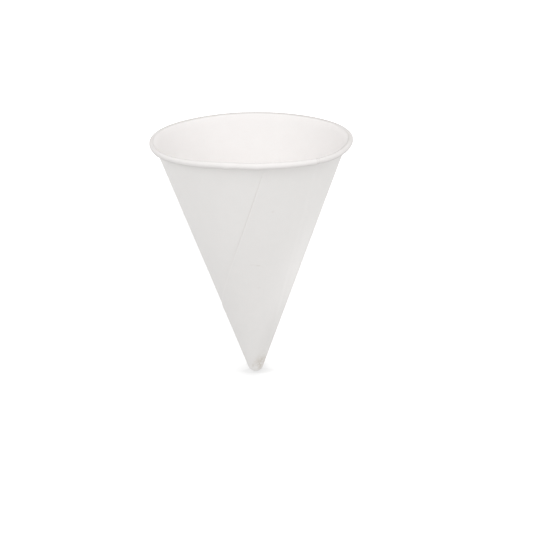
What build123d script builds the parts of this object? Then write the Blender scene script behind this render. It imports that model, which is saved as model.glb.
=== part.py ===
from build123d import *
from math import acos, asin, atan2, cos, degrees, hypot, radians, sin
import os

# Driving dimensions, in millimetres and degrees
RIM_DIAMETER = 73.0  # outside of the rolled rim
HEIGHT = 93.7  # nose to the top of the rim, along the axis
PLY = 0.22  # one thickness of the paper
ROLL_DIAMETER = 2.1  # outside of the rim's roll, across its section
ROLL_CLEARANCE = 0.1  # lapped wall to the tail of the roll
NOSE_RADIUS = 3.0  # outside of the rounded closed end
EDGE_OFFSET = 24.7  # apex to the straight outer edge, on the flat sheet
EDGE_ANGLE = 8.0  # outer edge at the top of the wall, round from the front
LAP_WIDTH = 18.6  # outer edge to inner edge, round the top of the wall
RAMP_SHARE = 0.7  # outer ply past the inner edge, as a share of its tangent run
REST_DENT = 0.6  # depth of the flat spot where the roll lies on a surface

# How finely the curves are followed
ROLL_STEPS = 14
EDGE_SECTIONS = 10
WEDGE_SIDES = 5

# Section of the sheet: the wall leaves the nose and enters the roll without a kink
roll_radius = ROLL_DIAMETER / 2
roll_out = RIM_DIAMETER / 2 - roll_radius
roll_up = HEIGHT - roll_radius - NOSE_RADIUS
nose_to_roll = hypot(roll_out, roll_up)
roll_bearing = degrees(atan2(roll_out, roll_up))
cross_angle = degrees(asin((NOSE_RADIUS - PLY + roll_radius) / nose_to_roll))
half_angle = roll_bearing - cross_angle
wall_length = nose_to_roll * cos(radians(cross_angle))
roll_mouth = degrees(acos((roll_radius - 2 * PLY - ROLL_CLEARANCE) / roll_radius))
roll_sweep = 360 - roll_mouth


def paper_face(offset):
    """Nose arc and wall line of one face of the paper, offset from the nose's centre."""
    nose = JernArc((0, NOSE_RADIUS - offset), (1, 0), offset, 90 - half_angle)
    wall = PolarLine(nose @ 1, wall_length, direction=nose % 1)
    return nose, wall


def roll_line(radius):
    """One face of the roll, in short straight steps over the top, out, down and back in."""
    step = radians(roll_sweep) / ROLL_STEPS
    turns = [radians(180 - half_angle) - step * count for count in range(ROLL_STEPS + 1)]
    centre = Vector(roll_out, NOSE_RADIUS + roll_up)
    return Polyline(*[centre + Vector(cos(turn), sin(turn)) * radius for turn in turns])


def turned(*outline):
    """Solid turned about the axis from a closed outline of radius and height."""
    return revolve(Plane.XZ * make_face(outline), Axis.Z)


def turned_point(line, position, angle):
    """Point of an outline line, carried round to an angle from the front."""
    point = line @ position
    return Vector(point.X * sin(radians(angle)), -point.X * cos(radians(angle)), point.Y)


inner_nose, inner_wall = paper_face(NOSE_RADIUS - PLY)
outer_nose, outer_wall = paper_face(NOSE_RADIUS)
lap_nose, lap_wall = paper_face(NOSE_RADIUS + PLY)
nose_end = Line(inner_nose @ 0, outer_nose @ 0)
wall_end = Line(inner_wall @ 1, outer_wall @ 1)
lap_start = Line(outer_nose @ 0, lap_nose @ 0)
lap_end = Line(outer_wall @ 1, lap_wall @ 1)

# Rim rolled outward and down, hollow, with its tail just clear of the lapped wall
roll_face = roll_line(roll_radius)
roll_hollow = roll_line(roll_radius - PLY)
roll_tail = Line(roll_face @ 1, roll_hollow @ 1)
roll = turned(wall_end, roll_face, roll_tail, roll_hollow)
roll_fill = turned(roll_face, Line(roll_face @ 1, roll_face @ 0))

# First ply goes all round, and the second covers it where the sheet laps over itself
first_ply = turned(nose_end, inner_nose, inner_wall, wall_end, outer_wall, outer_nose)
second_ply = turned(lap_start, outer_nose, outer_wall, lap_end, lap_wall, lap_nose)

# Straight edges of the flat sheet, wound on the cone
apex = NOSE_RADIUS - NOSE_RADIUS / sin(radians(half_angle))
top_radius = (outer_wall @ 1).X
top_height = (outer_wall @ 1).Y
flat_share = sin(radians(half_angle))
inner_edge = EDGE_ANGLE + degrees(LAP_WIDTH / top_radius)
tangent_run = degrees(acos(top_radius / (top_radius + PLY)))
landing = inner_edge + RAMP_SHARE * tangent_run


def edge_bearing(height):
    """Flat-sheet angle of a point on the outer edge, from the edge's nearest point to the apex."""
    return degrees(acos(EDGE_OFFSET * cos(radians(half_angle)) / (height - apex)))


def edge_height(bearing):
    """Height on the cup of a point on the outer edge."""
    return apex + EDGE_OFFSET * cos(radians(half_angle)) / cos(radians(bearing))


def edge_angle(bearing):
    """Angle round the cup of a point on the outer edge."""
    return EDGE_ANGLE - (edge_bearing(top_height) - bearing) / flat_share


# The inner edge is cut straight through the apex, so its far half ends the lap at the nose
corner_angle = inner_edge + 360 - 180 / flat_share
corner_bearing = edge_bearing(top_height) - (EDGE_ANGLE - corner_angle) * flat_share
corner_height = edge_height(corner_bearing)
rim_bearing = edge_bearing(HEIGHT)
bearing_step = (rim_bearing - corner_bearing) / EDGE_SECTIONS
wedge_end = landing + tangent_run / 4


def wedge(height, start, inside=0.0):
    """Flat wedge of a ring at a height, from an angle round to past the landing."""
    turn = radians(wedge_end - start) / WEDGE_SIDES
    angles = [radians(start) + turn * side for side in range(WEDGE_SIDES + 1)]
    outline = [(RIM_DIAMETER * sin(angle), -RIM_DIAMETER * cos(angle)) for angle in angles]
    if inside:
        outline += [(inside * sin(angle), -inside * cos(angle)) for angle in reversed(angles)]
    else:
        outline.append((0, 0))
    return Pos(0, 0, height) * make_face(Polyline(*outline, close=True))


bearings = [corner_bearing + bearing_step * section for section in range(EDGE_SECTIONS + 1)]
upper_zone = loft([wedge(edge_height(turn), edge_angle(turn), NOSE_RADIUS) for turn in bearings])
lower_zone = extrude(wedge(-HEIGHT, corner_angle), HEIGHT + corner_height)

# Past the inner edge the outer ply comes down flat to the first ply
foot = turned_point(outer_wall, 0, landing)
head = turned_point(outer_wall, 1, landing)
ridge = turned_point(lap_wall, 1, inner_edge)
outward = (ridge - head).cross(foot - head)
ramp = Plane(origin=head, x_dir=foot - head, z_dir=outward)
lap = (second_ply & upper_zone) + (second_ply & lower_zone)
lap = split(lap, bisect_by=ramp, keep=Keep.BOTTOM)

# Inside, the inner edge stands as a step over the hollow below the ramp
hollow = first_ply & extrude(wedge(corner_height, inner_edge), HEIGHT)
under_ramp = Plane(origin=turned_point(inner_wall, 1, landing), x_dir=foot - head, z_dir=outward)
hollow = split(hollow, bisect_by=under_ramp, keep=Keep.BOTTOM)

# Lying on its side, front up and mouth towards +Y, on the nose and a flat spot of the roll
rest_drop = NOSE_RADIUS - roll_radius + REST_DENT
rest_angle = roll_bearing - degrees(asin(rest_drop / nose_to_roll))
lying = Pos(0, 0, NOSE_RADIUS) * Rot(X=rest_angle - 90) * Pos(0, 0, -NOSE_RADIUS)
pressed = split(lying * roll_fill, bisect_by=Plane.XY, keep=Keep.TOP)
pressed = split(pressed, bisect_by=Plane.XY.offset(PLY), keep=Keep.BOTTOM)
roll = split(lying * roll, bisect_by=Plane.XY, keep=Keep.TOP)
cup = lying * (first_ply + lap - hollow) + roll + pressed
box = cup.bounding_box()
cup = Pos(-box.center().X, -box.center().Y, -box.min.Z) * cup

cup.label = "cone_cup"
os.makedirs("parts", exist_ok=True)
export_step(cup, "parts/cone_cup.step")
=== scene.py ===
"""Cone paper cup: one sheet wound into a cone, lapped, and rolled outward at the rim."""

from math import acos, asin, atan2, cos, hypot, pi, radians, sin, tan
from types import SimpleNamespace

import bpy
from bpy.props import FloatProperty, FloatVectorProperty, IntProperty, PointerProperty
from bpy.types import Operator, Panel, PropertyGroup
from mathutils import Matrix, Vector


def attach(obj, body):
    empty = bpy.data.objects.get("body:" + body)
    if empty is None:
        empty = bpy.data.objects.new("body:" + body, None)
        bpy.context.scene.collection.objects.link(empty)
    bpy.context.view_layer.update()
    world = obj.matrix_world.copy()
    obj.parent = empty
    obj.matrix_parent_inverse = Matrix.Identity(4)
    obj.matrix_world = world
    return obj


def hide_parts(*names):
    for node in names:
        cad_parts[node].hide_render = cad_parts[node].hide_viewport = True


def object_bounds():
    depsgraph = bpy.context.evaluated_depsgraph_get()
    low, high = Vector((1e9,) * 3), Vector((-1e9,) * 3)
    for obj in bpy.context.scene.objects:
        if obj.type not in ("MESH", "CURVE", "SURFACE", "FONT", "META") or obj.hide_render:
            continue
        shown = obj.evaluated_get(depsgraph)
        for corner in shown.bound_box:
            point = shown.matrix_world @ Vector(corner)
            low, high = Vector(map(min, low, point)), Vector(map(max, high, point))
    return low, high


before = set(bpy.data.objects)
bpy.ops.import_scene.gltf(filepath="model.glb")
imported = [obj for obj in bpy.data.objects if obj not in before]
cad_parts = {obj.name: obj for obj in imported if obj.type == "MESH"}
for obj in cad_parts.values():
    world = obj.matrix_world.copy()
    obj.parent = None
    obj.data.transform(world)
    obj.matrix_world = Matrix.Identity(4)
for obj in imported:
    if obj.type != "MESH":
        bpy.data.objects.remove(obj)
cad_low, cad_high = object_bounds()

bl_info = {
    "name": "Cone Paper Cup",
    "version": (1, 0, 0),
    "blender": (4, 5, 0),
    "location": "3D View > Sidebar > Paper Cup",
    "description": "Winds a cone paper cup from one sheet and sets a plain stage round it",
    "category": "Object",
}

MM = 0.001
SHEET_MAP = "sheet"
SHEET_WAY = "way"
SHEET_STEEP = "steep"
SHEET_MAP_SPAN = 250 * MM  # length of the flat sheet that one unit of its map covers

# Rows and columns of the grid that is wound into the cup
NOSE_ROWS = 12
OUTER_WALL_ROWS = 112
INNER_WALL_ROWS = 50
ROLL_ROWS = 24
OUTER_ROWS = NOSE_ROWS + OUTER_WALL_ROWS + ROLL_ROWS + 1
INNER_ROWS = NOSE_ROWS + INNER_WALL_ROWS + ROLL_ROWS + 1
COLUMNS = 384
LOW_CROWDING = 0.3  # how much closer the rows lie towards the nose, where the wound edge runs round fastest
BASE_ANGLE = radians(-52)  # about half-way between the starts of the uppermost and the lowest columns
HALF_STEP = 0.5  # keeps a count of rows or columns clear of its rounding
QUARTER_STEP = 0.25
MERGE_DISTANCE = 0.0003 * MM  # joins the closing column and the pole
CREASE_ANGLE = radians(38)  # edges that turn more than this are not shaded smooth
INNER_FACE = 0.75  # share of a face's corners past which it belongs to the inside
CUT_FACE = 0.5  # the same for the cut edges

# Swellings of the rolled rim: angle from the front, height, and width along the rim in degrees
RIM_SWELLS = (
    (-13.5, 0.28 * MM, 2.6),
    (2.5, 0.24 * MM, 2.4),
    (-93.0, -0.45 * MM, 30.0),
)

# Sags of the rim below a level one, given in the same way
RIM_SAGS = (
    (48.0, 1.00 * MM, 26.0),
    (-62.0, 0.66 * MM, 27.0),
    (-14.0, -0.33 * MM, 14.0),
    (180.0, -0.25 * MM, 30.0),
)

# Stretches up the sheet: start from the apex, and length
EDGE_LOOSENS = (48 * MM, 22 * MM)  # outer edge coming off the ply below it
EDGE_TUCKS = (90 * MM, 12 * MM)  # outer edge held down again by the roll
LAP_THINS = (94 * MM, 9 * MM)  # lap pressed thin by the roll
CUT_FIBRES_AND_HIGHLIGHT_FADES = (96 * MM, 7 * MM)  # pale line of the cut edge, partly a painted highlight
GAP_SHADOW_OPENS = (62 * MM, 12 * MM)  # painted shadow line on the ply below that edge
GAP_SHADOW_CLOSES = (98 * MM, 6 * MM)
NOSE_SHADE_FADES = (25 * MM, 60 * MM)  # painted shade, growing towards the nose
CORNER_RUN = 6 * MM  # inner edge coming in from the corner of the sheet

# Stretches of the wall and of the roll, as shares of each: start and length
WAVES_GROW = (0.0, 0.4)  # waves of the wall, up from the nose
WAVES_END = (0.0, 1 / 3)  # waves of the wall and the loose edge, on the roll
SAG_GROWS = (0.91, 0.09)  # top of the wall, which sags with the rim
TAIL_TIGHTENS = (0.84, 0.16)  # tail of the roll

# Places on the roll, as shares of it: middle and half width
SWELLS_ON_ROLL = (0.64, 0.28)
NICK_ON_ROLL = (0.40, 0.35)
FOLD_ON_ROLL = (0.06, 0.05)

# Unevenness of the sheet
LAP_THINNED = 0.8  # share of the lap's step that the roll presses away
EDGE_TUCKED = 0.85  # share of the outer edge's rise that the roll takes back
LOOSE_WIDTH = radians(3.5)  # reach of that rise round from the edge
NICK_WIDTH = radians(0.8)
WALL_WAVE_SIZE = 26 * MM
RIM_WAVE_SIZE = 7 * MM
RIM_SEED_STEP = 5
NOISE_MIDDLE = 0.5

# Marks on the outer face: distance from the apex and angle from the front, length, width, slope, strength
SPECKS = (
    (98.0 * MM, -3.2, 2.4 * MM, 1.9 * MM, 60, 0.040),
    (85.2 * MM, 14.2, 0.9 * MM, 0.7 * MM, 40, 0.120),
    (61.5 * MM, 4.4, 1.6 * MM, 0.55 * MM, -6, 0.170),
    (61.9 * MM, -1.1, 2.0 * MM, 0.40 * MM, 4, 0.080),
    (60.7 * MM, 8.6, 1.4 * MM, 0.25 * MM, -40, 0.060),
    (50.9 * MM, 5.5, 0.9 * MM, 0.5 * MM, 0, 0.110),
    (10.5 * MM, -18.0, 2.2 * MM, 0.7 * MM, 84, 0.200),
    (12.8 * MM, -6.0, 2.2 * MM, 0.5 * MM, 24, 0.070),
)

# Large soft marks, given in the same way: dirt, patches of painted shade and a band of painted light
RUBBED = (11.6 * MM, 30.0, 7.5 * MM, 4.4 * MM, 86, 0.62)  # dirt on the nose
PAINTED_SHADE_PATCHES = (  # painted shade on the wall: its middle, low on the right, and high on the right
    (70.0 * MM, 8.0, 80.0 * MM, 30.0 * MM, 87, 0.045),
    (23.0 * MM, 44.0, 30.0 * MM, 9.0 * MM, 75, 0.18),
    (99.0 * MM, 66.0, 34.0 * MM, 11.0 * MM, 68, 0.09),
)
PAINTED_LIGHT_BAND = (55.5 * MM, 54.0, 37.0 * MM, 16.0 * MM, 72, 0.80)  # band of painted light on the wall on the right, past the lap

# Lines along an edge: distance beyond it, and half width
CUT_FIBRES_AND_HIGHLIGHT = (-0.24 * MM, 0.22 * MM)  # pale fibres of the outer edge, and a painted highlight along it
GAP_SHADOW_LINE = (0.10 * MM, 0.17 * MM)  # painted shadow line on the ply below that edge
CREST_SHADE_LINE = (0.90 * MM, 0.42 * MM)  # painted shade along the crest of the roll, beyond the top of the wall
NICK_SHADE_LINE = (0.0, 0.30 * MM)  # painted shade along the nick

# Painted shade of the inner face and its roll: start and length
ROLL_TURNS = (0.0, 0.6 * MM)  # beyond the top of the wall
UPPER_INSIDE = (-24 * MM, 24 * MM)  # beyond the top of the wall
LOW_SIDE = (34 * MM, 18 * MM)  # height above the floor
LOWEST_SIDE = (8 * MM, 22 * MM)  # height above the floor
PAST_NICK_RUN = (22 * MM, 25 * MM)  # along the rim from the nick
CREST_FLOOR = 0.5  # least share of the crest's painted shade, where it is uneven

# Patterns of the paper: sizes, seeds, and the levels of noise over which each comes in, as start and range
BLOT_SIZE = 1.3 * MM
CREST_SIZE = 8 * MM
GRAIN_SIZE = 0.7  # share of a fibre's spacing
WARM_SIZE = 0.8  # share of a fibre's spacing
CLOUD_SEED, TANGLE_SEED, GRAIN_SEED = 1.0, 7.0, 11.0
WARM_SEED, BLOT_SEED, CREST_SEED = 15.0, 21.0, 31.0
CLOUD_LEVELS = (0.3, 0.4)
WARM_LEVELS = (0.52, 0.2)
BLOT_LEVELS = (0.32, 0.26)
GRAIN_LEVEL = 0.3
DENSITY_SHARES = (0.35, 0.25, 0.6)  # cloud, tangle and grain
RELIEF_SHARES = (0.4, 0.5, 0.8)  # cloud, tangle and grain

# Rings round the middle of the nose's shadow, as shares of its size: start and width
CONTACT_RING = (0.6, 0.75)
HALO_RING = (1.3, 0.6)
GLOW_RING = (1.9, 2.5)

FLOOR_HALF = 3.0  # half the side of the floor
FLOOR_ROUGHNESS = 0.9
CLIP_SHARE = 0.02  # nearest that the camera sees, as a share of its distance
WHITE = (1, 1, 1, 1)


def length(name, description, millimetres):
    """Size property, given in millimetres and kept in metres."""
    default = millimetres * MM
    return FloatProperty(name=name, description=description, default=default, unit="LENGTH", precision=5)


def angle(name, description, degrees):
    """Angle property, given in degrees and kept in radians."""
    return FloatProperty(name=name, description=description, default=radians(degrees), subtype="ANGLE")


def share(name, description, default):
    """Property for a share or a level, with no unit."""
    return FloatProperty(name=name, description=description, default=default, subtype="FACTOR")


def watts(name, description, default):
    """Power of a lamp."""
    return FloatProperty(name=name, description=description, default=default, unit="POWER")


def colour(name, description, default):
    """Colour property, as linear red, green and blue."""
    return FloatVectorProperty(
        name=name, description=description, default=default, subtype="COLOR", min=0, max=1
    )


class CupSizes(PropertyGroup):
    """Sizes of the wound sheet."""

    rim_diameter: length("Rim Diameter", "Outside of the rolled rim", (cad_high.x - cad_low.x) / MM)
    height: length("Height", "Nose to the top of the rim, along the axis", 93.7)
    ply: length("Ply", "One thickness of the paper", 0.22)
    roll_diameter: length("Roll Diameter", "Outside of the rim's roll, across its section", 2.1)
    roll_clearance: length("Roll Clearance", "Lapped wall to the tail of the roll", 0.1)
    nose_radius: length("Nose Radius", "Outside of the rounded closed end", 3.0)
    edge_offset: length("Edge Offset", "Apex to the straight outer edge, on the flat sheet", 24.7)
    edge_angle: angle("Edge Angle", "Outer edge at the top of the wall, round from the front", 8.0)
    lap_width: length("Lap Width", "Outer edge to inner edge, round the top of the wall", 18.6)
    ramp_share: share("Ramp Share", "Outer ply past the inner edge, as a share of its tangent run", 0.7)
    rest_dent: length("Rest Dent", "Depth of the flat spot where the roll lies on the floor", 0.6)
    edge_lift: length("Edge Lift", "Rise of the free outer edge off the ply below it", 0.15)
    fold_depth: length("Fold Depth", "Groove where the wall turns into the roll", 0.06)
    rim_nick: length("Rim Nick", "Depth of the groove across the roll", 0.20)
    nick_angle: angle("Nick Angle", "Groove across the roll, once round from the front", 397.4)
    rim_wave: length("Rim Wave", "Height of the unevenness along the rolled rim", 0.08)
    wall_wave: length("Wall Wave", "Height of the slow unevenness of the wall", 0.16)
    seed: IntProperty(name="Seed", description="Picks the unevenness of the paper", default=3)


class PaperLook(PropertyGroup):
    """Colours and finish of the paper, and the levels of the shade painted on it."""

    white: colour("White", "Outer face where its fibres lie thickest", (0.862, 0.848, 0.832))
    inside: colour("Inside White", "Inner face where its fibres lie thickest", (0.910, 0.890, 0.880))
    thin: share("Thin", "Tone of the paper where its fibres lie thinnest, as a share of its white", 0.970)
    warm: colour("Warm Fibre", "Single fibres of a warmer white", (0.880, 0.838, 0.820))
    cut: colour("Cut Edge", "Raw fibres of the cut edge", (0.92, 0.90, 0.885))
    # Colour of painted shade: the shadow line under the outer edge, the greyer patches of the outer wall,
    # and the greys of the inner face and its roll
    painted_shade: colour("Shade", "Paper pressed grey in its fold and its tight roll", (0.60, 0.575, 0.56))
    mark: colour("Mark", "Specks and bits of bark in the pulp", (0.42, 0.34, 0.26))
    stain: colour("Stain", "Rubbed dirt on the nose", (0.50, 0.44, 0.37))
    warm_fibres: share("Warm Fibres", "How strongly the warmer fibres show", 0.5)
    # Pale line of the outer edge: its raw fibres, and partly a painted highlight
    cut_line_and_highlight: share("Cut Line", "How pale the line of the outer edge is", 0.33)
    # Painted shadow line on the ply below the loose outer edge
    gap: share("Gap", "How grey the ply is right below the loose outer edge", 0.17)
    # Painted shade, growing towards the nose
    painted_nose_shade: share("Handled", "How grey the outer face grows towards the nose", 0.08)
    # Painted shade of the inner face: along the roll's crest, more at its sides and most on the side it
    # lies on, and growing towards the roll
    crest_shade: share("Crest", "How grey the crest of the roll is", 0.33)
    side_crest_shade: share("Side Crest", "How grey the crest of the roll is at its sides", 0.12)
    low_crest_shade: share("Low Crest", "How grey the crest of the roll is on the side it lies on", 0.85)
    upper: share("Upper Inside", "How grey the inner face grows towards the roll", 0.055)
    # Painted shade in the nick and on the roll, more on the side it lies on
    nick: share("Nick", "How grey the nick across the roll is", 0.20)
    roll: share("Roll", "How grey the tight roll is", 0.29)
    low_roll_shade: share("Low Roll", "How grey the tight roll is on the side it lies on", 0.38)
    # Roll darker just past its nick
    darker_past_nick: share("Lapped Roll", "How much greyer the tight roll is just past its nick", 0.10)
    # Painted shade where the paper stands steep
    roll_side_shade: share("Roll Side", "How grey the roll is where it stands steep", 0.64)
    wall_side_shade: share("Wall Side", "How grey the inner wall is where it stands steep", 0.12)
    cloud: length("Cloud", "Size of the paper's cloudy formation", 4.0)
    fibre: length("Fibre", "Spacing of the tangled fibres", 0.5)
    relief: length("Relief", "Height of the fibres on the surface", 0.012)
    relief_strength: share("Relief Strength", "How strongly that height shows", 0.35)
    roughness: share("Roughness", "Roughness where the fibres lie thinnest", 0.60)
    roughness_gain: share("Roughness Gain", "Roughness added where the fibres lie thickest", 0.16)
    gloss: share("Gloss", "Level of the plain reflection", 0.25)


class StageLook(PropertyGroup):
    """Floor, light and view."""

    floor: colour("Floor", "Pale floor", (0.80, 0.80, 0.80))
    floor_glow: share("Floor Glow", "White that the camera sees added on the floor", 0.50)
    nose_glow: share("Nose Glow", "White that the camera sees added on the floor round the nose", 0.262)
    # Painted shadow: white left out in an oval under the nose
    painted_contact_shadow: share("Contact", "White left out in the middle of the nose's shadow", 0.085)
    painted_shadow_halo: share("Halo", "White left out all over the nose's shadow", 0.034)
    shadow_width: length("Shadow Width", "Middle of the nose's shadow to each side of it", 6.6)
    shadow_length: length("Shadow Length", "Middle of the nose's shadow to its near and far side", 1.14)
    shadow_right: length("Shadow Right", "Middle of the nose's shadow to the right of the axis", 0.8)
    shadow_near: length("Shadow Near", "Middle of the nose's shadow beyond the tip", 0.2)
    sky: share("Sky", "Level of the even light all round", 0.70)
    left_lamp: watts("Left Lamp", "Soft lamp above the mouth, on the left", 1.21)
    right_lamp: watts("Right Lamp", "Soft lamp above the mouth, on the right", 1.43)
    low_lamp: watts("Low Lamp", "Soft lamp low by the nose, on the right", 0.52)
    left_lean: angle("Left Lean", "Lean of the left lamp from overhead towards the mouth", 20.0)
    right_lean: angle("Right Lean", "Lean of the right lamp from overhead towards the mouth", 45.0)
    lamp_side: angle("Lamp Side", "Lean of the upper lamps from overhead to each side", 30.0)
    low_lean: angle("Low Lean", "Lean of the low lamp from overhead towards the nose", 45.0)
    low_side: angle("Low Side", "Lean of the low lamp from overhead towards the right", 50.0)
    lamp_distance: length("Lamp Distance", "Each lamp to the cup", 700.0)
    lamp_size: length("Lamp Size", "Side of each lamp", 450.0)
    view_elevation: angle("View Elevation", "View down on the rim, above the rim's own plane", 21.745)
    view_roll: angle("View Roll", "Turn of the picture, counter-clockwise", 1.3185)
    view_distance: length("View Distance", "Camera to the point it looks at", 388.64)
    view_height: length("View Height", "Nose to the point looked at, along the axis", 43.8)
    view_right: length("View Right", "Middle of the picture to the right of that point", 4.82)
    view_up: length("View Up", "Middle of the picture above that point", -0.327)
    lens: FloatProperty(
        name="Lens", description="Focal length on a 36 mm sensor", default=69.99, unit="CAMERA"
    )


class Field:
    """Number that varies over a surface: a socket of a node tree, with plain arithmetic."""

    def __init__(self, tree, socket):
        self.tree = tree
        self.socket = socket

    def __add__(self, other):
        return maths("ADD", self, other)

    def __radd__(self, other):
        return maths("ADD", other, self)

    def __sub__(self, other):
        return maths("SUBTRACT", self, other)

    def __rsub__(self, other):
        return maths("SUBTRACT", other, self)

    def __mul__(self, other):
        return maths("MULTIPLY", self, other)

    def __rmul__(self, other):
        return maths("MULTIPLY", other, self)

    def __truediv__(self, other):
        return maths("DIVIDE", self, other)

    def __rtruediv__(self, other):
        return maths("DIVIDE", other, self)

    def __neg__(self):
        return maths("MULTIPLY", self, -1.0)


def plug(tree, value, socket):
    """Gives a socket a field or a plain value."""
    if isinstance(value, Field):
        tree.links.new(value.socket, socket)
    else:
        socket.default_value = value


def maths(operation, *values):
    """One math node on fields and plain numbers."""
    tree = next(value.tree for value in values if isinstance(value, Field))
    node = tree.nodes.new("ShaderNodeMath")
    node.operation = operation
    for value, socket in zip(values, node.inputs):
        plug(tree, value, socket)
    return Field(tree, node.outputs[0])


def sine(value):
    return maths("SINE", value)


def cosine(value):
    return maths("COSINE", value)


def least(one, other):
    return maths("MINIMUM", one, other)


def most(one, other):
    return maths("MAXIMUM", one, other)


def clamped(value):
    """Value held between 0 and 1."""
    return least(most(value, 0.0), 1.0)


def eased(value):
    """Smooth step from 0 to 1."""
    held = clamped(value)
    return held * held * (3.0 - 2.0 * held)


def rising(value, start, run):
    """Smooth step from 0 at a start to 1 a run further on."""
    return eased((value - start) / run)


def falling(value, start, run):
    """Smooth step from 1 at a start to 0 a run further on."""
    return 1 - rising(value, start, run)


def blended(one, other, weight):
    """One at weight 0, the other at weight 1."""
    return one + (other - one) * weight


def weighed(values, weights):
    """Sum of values, each times its weight."""
    return sum(value * weight for value, weight in zip(values, weights))


def hump(value, place, width):
    """Bell of height 1 round a place."""
    away = (value - place) / width
    return maths("EXPONENT", -(away * away))


def wrapped(turn):
    """Angle brought within half a turn either way."""
    return maths("WRAP", turn, pi, -pi)


def joined(x, y, z):
    """Vector of three fields."""
    node = x.tree.nodes.new("ShaderNodeCombineXYZ")
    for value, socket in zip((x, y, z), node.inputs):
        plug(x.tree, value, socket)
    return Field(x.tree, node.outputs[0])


def parts_of(vector):
    """Three fields of a vector."""
    node = vector.tree.nodes.new("ShaderNodeSeparateXYZ")
    vector.tree.links.new(vector.socket, node.inputs[0])
    return [Field(vector.tree, socket) for socket in node.outputs]


def noise(vector, size, seed, detail=2.0, kind="FBM", roughness=0.5):
    """Noise from 0 to 1 with features of about a size."""
    node = vector.tree.nodes.new("ShaderNodeTexNoise")
    node.noise_dimensions = "4D"
    node.noise_type = kind
    plug(vector.tree, vector, node.inputs["Vector"])
    plug(vector.tree, seed, node.inputs["W"])
    plug(vector.tree, 1.0 / size, node.inputs["Scale"])
    node.inputs["Detail"].default_value = detail
    node.inputs["Roughness"].default_value = roughness
    return Field(vector.tree, node.outputs[0])


def section_of(cup):
    """Sizes worked out from the cup's driving ones: the wall meets nose and roll without a kink."""
    roll_radius = cup.roll_diameter / 2
    roll_out = cup.rim_diameter / 2 - roll_radius
    roll_up = cup.height - roll_radius - cup.nose_radius
    nose_to_roll = hypot(roll_out, roll_up)
    roll_bearing = atan2(roll_out, roll_up)
    cross_angle = asin((cup.nose_radius - cup.ply + roll_radius) / nose_to_roll)
    half_angle = roll_bearing - cross_angle
    wall_length = nose_to_roll * cos(cross_angle)
    tail_gap = roll_radius - 2 * cup.ply - cup.roll_clearance
    slant_start = cup.nose_radius / tan(half_angle)
    slant_top = slant_start + wall_length
    top_radius = slant_top * sin(half_angle)
    flat_share = sin(half_angle)
    top_bearing = acos(cup.edge_offset / slant_top)
    inner_edge = cup.edge_angle + cup.lap_width / top_radius
    tangent_run = acos(top_radius / (top_radius + cup.ply))
    corner_angle = inner_edge + 2 * pi - pi / flat_share
    corner_bearing = top_bearing - (cup.edge_angle - corner_angle) * flat_share
    rest_drop = cup.nose_radius - roll_radius + cup.rest_dent
    return SimpleNamespace(
        half_angle=half_angle,
        wall_length=wall_length,
        roll_radius=roll_radius,
        roll_sweep=2 * pi - acos(tail_gap / roll_radius),
        slant_start=slant_start,
        flat_share=flat_share,
        top_bearing=top_bearing,
        inner_edge=inner_edge,
        landing=inner_edge + cup.ramp_share * tangent_run,
        corner_angle=corner_angle,
        corner_slant=cup.edge_offset / cos(corner_bearing),
        rest_angle=roll_bearing - asin(rest_drop / nose_to_roll),
    )


def laying_of(cup):
    """Matrix that lays the upright cup down: front up, mouth towards +Y, nose and rim on the floor."""
    upright = Matrix.Translation((0, 0, -cup.nose_radius))
    tipped = Matrix.Rotation(section_of(cup).rest_angle - pi / 2, 4, "X")
    nose = (0, cad_low.y + cup.nose_radius + cup.ply, cad_low.z + cup.nose_radius)
    return Matrix.Translation(nose) @ tipped @ upright


def tree_inputs(tree, kind, names):
    """Named inputs of a tree, as fields by their names in lower case."""
    for name in names:
        tree.interface.new_socket(name, in_out="INPUT", socket_type=kind)
    source = tree.nodes.new("NodeGroupInput")
    made = {name.lower().replace(" ", "_"): Field(tree, source.outputs[name]) for name in names}
    return SimpleNamespace(**made)


def sheet_sizes(cup):
    """Sizes that the sheet is wound by, under the names of the tree's inputs."""
    section = section_of(cup)
    return {
        "Ply": cup.ply,
        "Nose Radius": cup.nose_radius,
        "Roll Radius": section.roll_radius,
        "Wall Heading": pi / 2 - section.half_angle,
        "Wall Length": section.wall_length,
        "Roll Sweep": section.roll_sweep,
        "Slant Start": section.slant_start,
        "Flat Share": section.flat_share,
        "Edge Offset": cup.edge_offset,
        "Edge Angle": cup.edge_angle,
        "Top Bearing": section.top_bearing,
        "Inner Edge": section.inner_edge,
        "Landing": section.landing,
        "Corner Angle": section.corner_angle,
        "Corner Slant": section.corner_slant,
        "Edge Lift": cup.edge_lift,
        "Fold Depth": cup.fold_depth,
        "Rim Nick": cup.rim_nick,
        "Nick Angle": cup.nick_angle,
        "Rim Wave": cup.rim_wave,
        "Wall Wave": cup.wall_wave,
        "Seed": float(cup.seed),
    }


def chained(tree, kind, geometry, **settings):
    """Adds a geometry node after a geometry socket and returns it."""
    node = tree.nodes.new(kind)
    for name, value in settings.items():
        setattr(node, name, value)
    tree.links.new(geometry, node.inputs[0])
    return node


def noted(tree, geometry, domain, **values):
    """Geometry with values captured on it, and the captured values by their names."""
    node = chained(tree, "GeometryNodeCaptureAttribute", geometry, domain=domain)
    for name, value in values.items():
        node.capture_items.new("FLOAT", name)
        plug(tree, value, node.inputs[name])
    kept = {name: Field(tree, node.outputs[name]) for name in values}
    return SimpleNamespace(geometry=node.outputs[0], **kept)


def stored(tree, geometry, name, value, **settings):
    """Geometry with a value kept on it for its materials to read."""
    node = chained(tree, "GeometryNodeStoreNamedAttribute", geometry, **settings)
    node.inputs["Name"].default_value = name
    plug(tree, value, node.inputs["Value"])
    return node.outputs[0]


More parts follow.
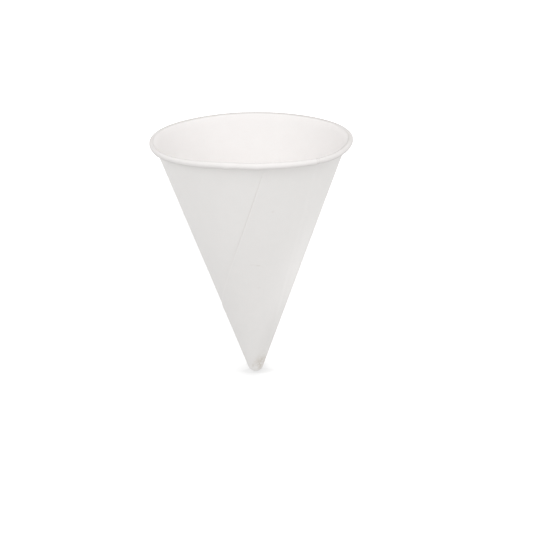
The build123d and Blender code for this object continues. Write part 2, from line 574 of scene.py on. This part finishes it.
def counted_grid(tree):
    """Grid of the flat sheet, with the column and the row of each point."""
    grid = tree.nodes.new("GeometryNodeMeshGrid")
    grid.inputs["Vertices X"].default_value = COLUMNS + 2
    grid.inputs["Vertices Y"].default_value = OUTER_ROWS + INNER_ROWS
    index = Field(tree, tree.nodes.new("GeometryNodeInputIndex").outputs[0])
    column = maths("FLOOR", (index + HALF_STEP) / (OUTER_ROWS + INNER_ROWS))
    row = index - column * (OUTER_ROWS + INNER_ROWS)
    return noted(tree, grid.outputs["Mesh"], "POINT", column=column, row=row)


def up_the_section(size, row):
    """Where a row lies: nose, wall and roll each run from 0 to 1, up the outer face and down the inner."""
    inner = maths("GREATER_THAN", row, OUTER_ROWS - HALF_STEP)
    step = blended(row, OUTER_ROWS + INNER_ROWS - 1 - row, inner)
    wall_rows = blended(OUTER_WALL_ROWS, INNER_WALL_ROWS, inner)
    nose = clamped(step / NOSE_ROWS)
    wall = clamped((step - NOSE_ROWS) / wall_rows)
    wall = wall - LOW_CROWDING * wall * (1 - wall)
    roll = clamped((step - NOSE_ROWS - wall_rows) / ROLL_ROWS)
    turned = size.wall_heading * nose
    climbed = size.wall_length * wall
    return SimpleNamespace(
        inner=inner,
        nose=nose,
        wall=wall,
        roll=roll,
        on_roll=maths("GREATER_THAN", roll, 0.0),
        turned=turned,
        climbed=climbed,
        heading=turned - size.roll_sweep * roll,
        slant=size.slant_start + size.nose_radius * (turned - size.wall_heading) + climbed,
    )


def round_the_cup(size, column, part):
    """Where a column lies: the outer face starts at the outer edge, the inner face at the inner edge.

    Columns follow their edge at either end of the turn, and less and less so towards its middle.
    """
    bearing = maths("ARCCOSINE", least(size.edge_offset / part.slant, 1.0))
    wound = size.edge_angle - (size.top_bearing - bearing) / size.flat_share
    start = blended(most(wound, size.corner_angle), size.inner_edge, eased(part.roll))
    start = blended(start, size.inner_edge, part.inner)
    turn = least(column, COLUMNS) * (2 * pi / COLUMNS)
    closing = maths("GREATER_THAN", column, COLUMNS + HALF_STEP)
    follow = maths("ABSOLUTE", 1 - turn / pi)
    reached = turn + blended(BASE_ANGLE, start, follow)
    from_edge = (reached - start) * (1 - closing)
    return SimpleNamespace(angle=reached, from_edge=from_edge, lap_angle=start + from_edge)


def along_rim(around, bumps):
    """Bumps along the rim put together, each with its angle, its height and its width in degrees."""
    heights = [height for _, height, _ in bumps]
    bells = [
        hump(wrapped(around.angle - radians(degrees)), 0.0, radians(width)) for degrees, _, width in bumps
    ]
    return weighed(bells, heights)


def depth_of(size, part, around, place):
    """How far a point lies in from the outer face: its ply, the lap, slow waves and the uneven roll."""
    outer = 1 - part.inner
    below_roll = falling(part.roll, *WAVES_END)

    # Lap, which ramps down past the inner edge, fades out at either end, and lifts along its loose edge
    ramp = (size.landing - size.inner_edge) * (size.slant_start + size.wall_length) / part.slant
    from_corner = rising(part.slant, size.corner_slant, CORNER_RUN)
    lap = size.ply * falling(around.lap_angle, size.inner_edge, ramp)
    lap = lap * blended(eased(part.nose), from_corner, part.inner)
    lap = lap * (1 - LAP_THINNED * rising(part.slant, *LAP_THINS) * outer)
    loose = hump(around.from_edge, 0.0, LOOSE_WIDTH) * rising(part.slant, *EDGE_LOOSENS)
    loose = loose * (1 - EDGE_TUCKED * rising(part.slant, *EDGE_TUCKS))
    lap = lap + size.edge_lift * loose * outer * below_roll

    # Slow waves of the wall
    slow = noise(place, WALL_WAVE_SIZE, size.seed, detail=1.0) - NOISE_MIDDLE
    wave = size.wall_wave * slow * rising(part.wall, *WAVES_GROW) * below_roll

    # Uneven roll, with the nick across it and the fold it starts at
    uneven = noise(place, RIM_WAVE_SIZE, size.seed + RIM_SEED_STEP, detail=1.0) - NOISE_MIDDLE
    slack = size.rim_wave * uneven + along_rim(around, RIM_SWELLS)
    slack = slack * hump(part.roll, *SWELLS_ON_ROLL) * falling(part.roll, *TAIL_TIGHTENS)
    nick = size.rim_nick * hump(wrapped(around.angle - size.nick_angle), 0.0, NICK_WIDTH)
    nick = nick * hump(part.roll, *NICK_ON_ROLL)
    fold = size.fold_depth * hump(part.roll, *FOLD_ON_ROLL)
    return part.inner * size.ply - lap - wave + (slack - nick - fold) * part.on_roll


def sag_of(part, around):
    """How far the rim and the top of the wall hang below a level rim."""
    return along_rim(around, RIM_SAGS) * rising(part.wall, *SAG_GROWS)


def wound_sheet(cup, sizes, papers):
    """Tree that winds a grid into the cup, lays it on the floor and gives it its papers.

    Rows run up the outer face to the tail of the roll and back down the inner face. Columns go once
    round from the free edge, and one more column closes the step at that edge.
    """
    tree = bpy.data.node_groups.new("wound_sheet", "GeometryNodeTree")
    size = tree_inputs(tree, "NodeSocketFloat", sizes)
    paper = tree_inputs(tree, "NodeSocketMaterial", papers)
    tree.interface.new_socket("Geometry", in_out="OUTPUT", socket_type="NodeSocketGeometry")
    grid = counted_grid(tree)
    part = up_the_section(size, grid.row)
    around = round_the_cup(size, grid.column, part)

    # Section of the outer face, turned round the axis and moved in to the point's depth
    hollow = size.roll_radius - size.ply
    out = sine(part.heading)
    down = cosine(part.heading)
    wall_out = sine(size.wall_heading)
    wall_down = cosine(size.wall_heading)
    radius = size.nose_radius * sine(part.turned) + wall_down * part.climbed
    radius = radius + part.on_roll * hollow * (wall_out - out)
    height = size.nose_radius * (1 - cosine(part.turned)) + wall_out * part.climbed
    height = height + part.on_roll * hollow * (down - wall_down)
    right = sine(around.angle)
    front = -cosine(around.angle)
    depth = depth_of(size, part, around, joined(radius * right, radius * front, height))
    radius = radius - out * depth
    height = height + down * depth - sag_of(part, around)
    shaped = chained(tree, "GeometryNodeSetPosition", grid.geometry)
    plug(tree, joined(radius * right, radius * front, height), shaped.inputs["Position"])

    # Way up the sheet, and map of the flat sheet with its inner face laid out beside its outer one
    way = part.slant + hollow * size.roll_sweep * part.roll
    flat_angle = around.angle * size.flat_share
    across = way * sine(flat_angle) / SHEET_MAP_SPAN + part.inner
    along = way * cosine(flat_angle) / SHEET_MAP_SPAN
    geometry = stored(tree, shaped.outputs[0], SHEET_WAY, way, data_type="FLOAT", domain="POINT")
    flat = joined(across, along, 0.0)
    geometry = stored(tree, geometry, SHEET_MAP, flat, data_type="FLOAT2", domain="CORNER")

    # Faces of the inside and of the cut edges, noted before the closing column is merged
    at_tail = maths("COMPARE", grid.row, OUTER_ROWS - HALF_STEP, QUARTER_STEP)
    at_step = maths("GREATER_THAN", grid.column, COLUMNS + QUARTER_STEP)
    faces = noted(tree, geometry, "FACE", inside=part.inner, cut=most(at_tail, at_step))

    # Laid down, with the flat spot where the roll stops at the floor and its hollow one ply above
    laid = chained(tree, "GeometryNodeTransform", faces.geometry)
    laying = laying_of(cup)
    laid.inputs["Translation"].default_value = laying.to_translation()
    laid.inputs["Rotation"].default_value = laying.to_euler()
    x, y, z = parts_of(Field(tree, tree.nodes.new("GeometryNodeInputPosition").outputs[0]))
    pressed = chained(tree, "GeometryNodeSetPosition", laid.outputs[0])
    plug(tree, part.on_roll, pressed.inputs["Selection"])
    floor = cad_low.z + size.ply * (1 - part.inner)
    plug(tree, joined(x, y, most(z, floor)), pressed.inputs["Position"])

    # Merged, with how steep it stands kept for the painted shade of its inner paper, and smooth except at
    # its creases
    merged = chained(tree, "GeometryNodeMergeByDistance", pressed.outputs[0])
    merged.inputs["Distance"].default_value = MERGE_DISTANCE
    _, _, upward = parts_of(Field(tree, tree.nodes.new("GeometryNodeInputNormal").outputs[0]))
    steep = 1 - maths("ABSOLUTE", upward)
    geometry = stored(tree, merged.outputs[0], SHEET_STEEP, steep, data_type="FLOAT", domain="POINT")
    smooth = chained(tree, "GeometryNodeSetShadeSmooth", geometry, domain="FACE")
    creased = chained(tree, "GeometryNodeSetShadeSmooth", smooth.outputs[0], domain="EDGE")
    fold = Field(tree, tree.nodes.new("GeometryNodeInputMeshEdgeAngle").outputs[0])
    plug(tree, maths("GREATER_THAN", fold, CREASE_ANGLE), creased.inputs["Selection"])
    creased.inputs["Shade Smooth"].default_value = False

    # Papers of its faces
    geometry = chained(tree, "GeometryNodeRealizeInstances", creased.outputs[0]).outputs[0]
    everywhere = (paper.outside_paper, True)
    within = (paper.inside_paper, maths("GREATER_THAN", faces.inside, INNER_FACE))
    at_cut = (paper.cut_paper, maths("GREATER_THAN", faces.cut, CUT_FACE))
    for material, chosen in (everywhere, within, at_cut):
        dressed = chained(tree, "GeometryNodeSetMaterial", geometry)
        plug(tree, material, dressed.inputs["Material"])
        plug(tree, chosen, dressed.inputs["Selection"])
        geometry = dressed.outputs[0]
    tree.links.new(geometry, tree.nodes.new("NodeGroupOutput").inputs[0])
    return tree


def plain_mesh(context, name, tree, values):
    """Object at the origin with the plain mesh that a tree gives for named values."""
    piece = bpy.data.objects.new(name, bpy.data.meshes.new(name))
    context.scene.collection.objects.link(piece)
    modifier = piece.modifiers.new("Wind", "NODES")
    modifier.node_group = tree
    for socket in tree.interface.items_tree:
        if socket.in_out == "INPUT":
            modifier[socket.identifier] = values[socket.name]
    depsgraph = context.evaluated_depsgraph_get()
    mesh = bpy.data.meshes.new_from_object(
        piece.evaluated_get(depsgraph), preserve_all_data_layers=True, depsgraph=depsgraph
    )
    piece.modifiers.clear()
    piece.data = mesh
    mesh.name = name
    return piece


def fibre_group():
    """Look that every face of the paper shares: how thick its fibres lie, warm single ones and relief."""
    group = bpy.data.node_groups.new("paper_fibres", "ShaderNodeTree")
    place = tree_inputs(group, "NodeSocketVector", ("Place",)).place
    size = tree_inputs(group, "NodeSocketFloat", ("Cloud Size", "Fibre Size"))
    cloud = noise(place, size.cloud_size, CLOUD_SEED, detail=3.0)
    tangle = noise(
        place, size.fibre_size, TANGLE_SEED, detail=3.0, kind="RIDGED_MULTIFRACTAL", roughness=0.6
    )
    grain = noise(place, size.fibre_size * GRAIN_SIZE, GRAIN_SEED, detail=2.0)
    warm = noise(place, size.fibre_size * WARM_SIZE, WARM_SEED, detail=1.0)
    thick = (rising(cloud, *CLOUD_LEVELS), tangle, grain - GRAIN_LEVEL)
    results = {
        "Density": clamped(weighed(thick, DENSITY_SHARES)),
        "Warmth": rising(warm, *WARM_LEVELS),
        "Relief": weighed((cloud, tangle, grain), RELIEF_SHARES),
    }
    target = group.nodes.new("NodeGroupOutput")
    for name, value in results.items():
        group.interface.new_socket(name, in_out="OUTPUT", socket_type="NodeSocketFloat")
        plug(group, value, target.inputs[name])
    return group


def tinted(one, other, weight):
    """Colour between two colours, each plain or the output of another tint."""
    tree = weight.tree
    node = tree.nodes.new("ShaderNodeMix")
    node.data_type = "RGBA"
    plug(tree, weight, node.inputs[0])
    ends = [socket for socket in node.inputs if socket.type == "RGBA"]
    for value, socket in zip((one, other), ends):
        plug(tree, value if isinstance(value, Field) else (*value, 1.0), socket)
    mixed = next(socket for socket in node.outputs if socket.type == "RGBA")
    return Field(tree, mixed)


def sheet_place(tree):
    """Place on the flat sheet, across and along, with the inner face laid out beside the outer one."""
    sheet = tree.nodes.new("ShaderNodeUVMap")
    sheet.uv_map = SHEET_MAP
    across, along, _ = parts_of(Field(tree, sheet.outputs[0]))
    return across * SHEET_MAP_SPAN, along * SHEET_MAP_SPAN


def speck_mask(across, along, section, speck):
    """Soft oval on the flat sheet."""
    slant, degrees, long, wide, slope, strength = speck
    flat = radians(degrees) * section.flat_share
    right = across - slant * sin(flat)
    up = along - slant * cos(flat)
    lean = radians(slope)
    by_length = (right * cos(lean) + up * sin(lean)) / (long / 2)
    by_width = (up * cos(lean) - right * sin(lean)) / (wide / 2)
    return strength * maths("EXPONENT", -(by_length * by_length + by_width * by_width))


def sheet_value(tree, name):
    """Value kept on the sheet under a name."""
    sheet = tree.nodes.new("ShaderNodeAttribute")
    sheet.attribute_name = name
    return Field(tree, sheet.outputs["Fac"])


def beyond_edge(across, along, cup, bearing):
    """Distance beyond a straight edge of the flat sheet that lies square to a bearing."""
    return across * sin(bearing) + along * cos(bearing) - cup.edge_offset


def marked(paint, place, cup, look):
    """Outer face's colour with the pale line of its cut edge, partly a painted highlight, a painted shadow
    line below that edge, painted shade and light on the wall, its specks and the dirt on its nose.
    """
    section = section_of(cup)
    across, along = sheet_place(place.tree)
    way = maths("SQRT", across * across + along * along)

    # Pale line of the outer edge, partly a painted highlight, and a painted shadow line on the ply below
    # it, which lies one turn further on the flat sheet
    square_on = cup.edge_angle * section.flat_share - section.top_bearing
    turned_on = square_on + 2 * pi * section.flat_share
    cut = hump(beyond_edge(across, along, cup, square_on), *CUT_FIBRES_AND_HIGHLIGHT) * falling(way, *CUT_FIBRES_AND_HIGHLIGHT_FADES)
    paint = tinted(paint, look.cut, cut * look.cut_line_and_highlight)
    # Painted shadow line on the ply below the loose outer edge
    gap = hump(beyond_edge(across, along, cup, turned_on), *GAP_SHADOW_LINE)
    gap = gap * rising(way, *GAP_SHADOW_OPENS) * falling(way, *GAP_SHADOW_CLOSES)
    paint = tinted(paint, look.painted_shade, gap * look.gap)

    # Painted shade towards the nose, patches of painted shade and a band of painted light on the wall, then
    # dirt and specks
    paint = tinted(paint, look.painted_shade, falling(way, *NOSE_SHADE_FADES) * look.painted_nose_shade)
    # Patches of painted shade on the wall
    for patch in PAINTED_SHADE_PATCHES:
        paint = tinted(paint, look.painted_shade, speck_mask(across, along, section, patch))
    # Band of painted light on the right of the wall, in the cut edge's pale colour
    paint = tinted(paint, look.cut, speck_mask(across, along, section, PAINTED_LIGHT_BAND))
    blot = noise(place, BLOT_SIZE, BLOT_SEED, detail=3.0, roughness=0.65)
    dirt = speck_mask(across, along, section, RUBBED) * rising(blot, *BLOT_LEVELS)
    paint = tinted(paint, look.stain, dirt)
    specks = speck_mask(across, along, section, SPECKS[0])
    for speck in SPECKS[1:]:
        specks = most(specks, speck_mask(across, along, section, speck))
    return tinted(paint, look.mark, specks)


def beside_ray(across, along, bearing):
    """Distance on the flat inner face to the right of a ray from the apex."""
    return (across - SHEET_MAP_SPAN) * cos(bearing) - along * sin(bearing)


def folded(paint, place, cup, look):
    """Inner face's colour with painted shade on the roll, in its nick, along its crest, towards it and
    where the paper stands steep, more on the side it lies on; the roll is also darker just past its nick.
    """
    tree = place.tree
    section = section_of(cup)
    above = sheet_value(tree, SHEET_WAY) - (section.slant_start + section.wall_length)
    steep = sheet_value(tree, SHEET_STEEP)
    across, along = sheet_place(tree)
    _, _, up = parts_of(place)
    low = falling(up, *LOW_SIDE)
    lowest = falling(up, *LOWEST_SIDE)
    turned = rising(above, *ROLL_TURNS)

    # Painted shade in the nick, and the roll darker just past it, which lies one turn back on the flat
    # sheet
    nick_at = cup.nick_angle * section.flat_share
    turned_back = (cup.nick_angle - 2 * pi) * section.flat_share
    nick = hump(beside_ray(across, along, nick_at), *NICK_SHADE_LINE) * look.nick
    past_nick = falling(beside_ray(across, along, turned_back), *PAST_NICK_RUN) * look.darker_past_nick

    # Painted shade on the roll, more on the side it lies on
    roll = (blended(look.roll, look.low_roll_shade, low) + nick + past_nick) * turned
    # Painted shade where the paper stands steep, more on the roll than on the wall
    side = steep * steep * steep * blended(look.wall_side_shade, look.roll_side_shade, turned)
    uneven = CREST_FLOOR + noise(place, CREST_SIZE, CREST_SEED, detail=1.0)
    # Painted shade along the roll's crest, more on the side it lies on
    crest_shade = blended(blended(look.crest_shade, look.side_crest_shade, low), look.low_crest_shade, lowest)
    crest_shade = crest_shade * hump(above, *CREST_SHADE_LINE) * uneven
    # Painted shade growing towards the roll
    upper = rising(above, *UPPER_INSIDE) * (1 - turned) * look.upper
    return tinted(paint, look.painted_shade, clamped(roll + side + crest_shade + upper))


def paper_material(name, group, cup, look, pale, detailed=None):
    """Uncoated paper: matte, faintly cloudy, with fibres in its tone and its relief."""
    material = bpy.data.materials.new(name)
    material.use_nodes = True
    tree = material.node_tree
    shader = tree.nodes["Principled BSDF"]
    spot = tree.nodes.new("ShaderNodeTexCoord")
    place = Field(tree, spot.outputs["Object"])
    fibres = tree.nodes.new("ShaderNodeGroup")
    fibres.node_tree = group
    plug(tree, place, fibres.inputs["Place"])
    fibres.inputs["Cloud Size"].default_value = look.cloud
    fibres.inputs["Fibre Size"].default_value = look.fibre
    density = Field(tree, fibres.outputs["Density"])
    paint = tinted([level * look.thin for level in pale], pale, density)
    paint = tinted(paint, look.warm, Field(tree, fibres.outputs["Warmth"]) * look.warm_fibres)
    if detailed:
        paint = detailed(paint, place, cup, look)
    plug(tree, paint, shader.inputs["Base Color"])
    plug(tree, look.roughness + density * look.roughness_gain, shader.inputs["Roughness"])
    shader.inputs["Specular IOR Level"].default_value = look.gloss
    bump = tree.nodes.new("ShaderNodeBump")
    bump.inputs["Strength"].default_value = look.relief_strength
    bump.inputs["Distance"].default_value = look.relief
    plug(tree, Field(tree, fibres.outputs["Relief"]), bump.inputs["Height"])
    tree.links.new(bump.outputs[0], shader.inputs["Normal"])
    return material


def sheet_papers(cup, look):
    """Papers of the sheet's faces, under the names of the tree's inputs."""
    group = fibre_group()
    return {
        "Outside Paper": paper_material("paper_outside", group, cup, look, look.white, marked),
        "Inside Paper": paper_material("paper_inside", group, cup, look, look.inside, folded),
        "Cut Paper": paper_material("paper_cut_edge", group, cup, look, look.cut),
    }


class PAPERCUP_OT_wind(Operator):
    """Wind the paper sheet into the cup, lay it down and give it its paper"""

    bl_idname = "paper_cup.wind"
    bl_label = "Wind Cup"
    bl_options = {"REGISTER", "UNDO"}

    def execute(self, context):
        cup = context.scene.cup_sizes
        sizes = sheet_sizes(cup)
        papers = sheet_papers(cup, context.scene.paper_look)
        tree = wound_sheet(cup, sizes, papers)
        piece = plain_mesh(context, "paper_cone_cup", tree, {**sizes, **papers})
        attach(piece, "root")
        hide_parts("cone_cup")
        return {"FINISHED"}


def seen_level(tree, level):
    """Level that only the camera and mirror-like or clear surfaces see."""
    path = tree.nodes.new("ShaderNodeLightPath")
    rays = [Field(tree, path.outputs[f"Is {kind} Ray"]) for kind in ("Camera", "Glossy", "Transmission")]
    return clamped(rays[0] + rays[1] + rays[2]) * level


def make_floor(context, stage):
    """Wide pale floor, which the camera sees white except for the soft shadow under the nose, partly real
    and partly a painted oval of white left out.
    """
    corners = [(-1, -1), (1, -1), (1, 1), (-1, 1)]
    mesh = bpy.data.meshes.new("floor")
    points = [(x * FLOOR_HALF, y * FLOOR_HALF, cad_low.z) for x, y in corners]
    mesh.from_pydata(points, [], [(0, 1, 2, 3)])
    floor = bpy.data.objects.new("floor", mesh)
    context.scene.collection.objects.link(floor)
    material = bpy.data.materials.new("pale_floor")
    material.use_nodes = True
    tree = material.node_tree
    shader = tree.nodes["Principled BSDF"]
    shader.inputs["Base Color"].default_value = (*stage.floor, 1.0)
    shader.inputs["Roughness"].default_value = FLOOR_ROUGHNESS
    shader.inputs["Specular IOR Level"].default_value = 0.0
    shader.inputs["Emission Color"].default_value = WHITE
    spot = tree.nodes.new("ShaderNodeTexCoord")
    x, y, _ = parts_of(Field(tree, spot.outputs["Object"]))
    # Oval under the nose where white is left out: a painted shadow over the real one
    across = (x - stage.shadow_right) / stage.shadow_width
    along = (y - cad_low.y + stage.shadow_near) / stage.shadow_length
    away = maths("SQRT", across * across + along * along)
    glow = blended(stage.nose_glow, stage.floor_glow, rising(away, *GLOW_RING))
    glow = glow - stage.painted_contact_shadow * falling(away, *CONTACT_RING) - stage.painted_shadow_halo * falling(away, *HALO_RING)
    plug(tree, seen_level(tree, glow), shader.inputs["Emission Strength"])
    mesh.materials.append(material)


def make_world(context, stage):
    """Even light all round, which the camera sees as white."""
    world = bpy.data.worlds.new("even_light")
    world.use_nodes = True
    tree = world.node_tree
    shader = tree.nodes["Background"]
    shader.inputs["Color"].default_value = WHITE
    plug(tree, stage.sky + seen_level(tree, 1.0 - stage.sky), shader.inputs["Strength"])
    context.scene.world = world


def make_lamp(context, stage, name, power, lean, side):
    """Square soft lamp aimed at the cup, leaning from overhead towards the mouth and the right."""
    lamp = bpy.data.lights.new(name, "AREA")
    lamp.shape = "SQUARE"
    lamp.size = stage.lamp_size
    lamp.energy = power
    holder = bpy.data.objects.new(name, lamp)
    context.scene.collection.objects.link(holder)
    away = Vector((tan(side), tan(lean), 1)).normalized()
    holder.location = (cad_low + cad_high) / 2 + away * stage.lamp_distance
    holder.rotation_euler = away.to_track_quat("Z", "Y").to_euler()


def make_camera(context, stage, cup):
    """Camera above the lying cup, at the angle to it that looks down into a standing one."""
    laying = laying_of(cup)
    seen_from = Vector((0, -cos(stage.view_elevation), sin(stage.view_elevation)))
    back = laying.to_3x3() @ seen_from
    level = Vector((1, 0, 0))
    upward = back.cross(level)
    right = level * cos(stage.view_roll) - upward * sin(stage.view_roll)
    top = upward * cos(stage.view_roll) + level * sin(stage.view_roll)
    looked_at = laying @ Vector((0, 0, stage.view_height))
    eye = looked_at + back * stage.view_distance
    middle = looked_at + right * stage.view_right + top * stage.view_up
    back = (eye - middle).normalized()
    right = top.cross(back).normalized()
    lens = bpy.data.cameras.new("camera")
    lens.lens = stage.lens
    lens.clip_start = stage.view_distance * CLIP_SHARE
    camera = bpy.data.objects.new("camera", lens)
    context.scene.collection.objects.link(camera)
    turn = Matrix((right, back.cross(right), back)).transposed()
    camera.matrix_world = Matrix.Translation(eye) @ turn.to_4x4()
    context.scene.camera = camera


class PAPERCUP_OT_set_stage(Operator):
    """Set the pale floor, the soft light and the camera round the cup"""

    bl_idname = "paper_cup.set_stage"
    bl_label = "Set Stage"
    bl_options = {"REGISTER", "UNDO"}

    def execute(self, context):
        stage = context.scene.stage_look
        cup = context.scene.cup_sizes
        make_floor(context, stage)
        make_world(context, stage)
        make_lamp(context, stage, "left_lamp", stage.left_lamp, stage.left_lean, -stage.lamp_side)
        make_lamp(context, stage, "right_lamp", stage.right_lamp, stage.right_lean, stage.lamp_side)
        make_lamp(context, stage, "low_lamp", stage.low_lamp, -stage.low_lean, stage.low_side)
        make_camera(context, stage, cup)
        context.scene.view_settings.view_transform = "Standard"
        return {"FINISHED"}


class PAPERCUP_PT_sidebar(Panel):
    """Sizes, paper and stage of the cup"""

    bl_idname = "PAPERCUP_PT_sidebar"
    bl_label = "Paper Cup"
    bl_space_type = "VIEW_3D"
    bl_region_type = "UI"
    bl_category = "Paper Cup"

    def draw(self, context):
        scene = context.scene
        groups = (
            (scene.cup_sizes, PAPERCUP_OT_wind),
            (scene.paper_look, None),
            (scene.stage_look, PAPERCUP_OT_set_stage),
        )
        for group, operator in groups:
            box = self.layout.box()
            for name in group.__annotations__:
                box.prop(group, name)
            if operator:
                box.operator(operator.bl_idname)


GROUPS = {"cup_sizes": CupSizes, "paper_look": PaperLook, "stage_look": StageLook}
CLASSES = (*GROUPS.values(), PAPERCUP_OT_wind, PAPERCUP_OT_set_stage, PAPERCUP_PT_sidebar)


def register():
    for made in CLASSES:
        bpy.utils.register_class(made)
    for name, group in GROUPS.items():
        setattr(bpy.types.Scene, name, PointerProperty(type=group))


def unregister():
    for name in GROUPS:
        delattr(bpy.types.Scene, name)
    for made in reversed(CLASSES):
        bpy.utils.unregister_class(made)


def main():
    register()
    bpy.ops.paper_cup.wind()
    bpy.ops.paper_cup.set_stage()


if __name__ == "__main__":
    main()
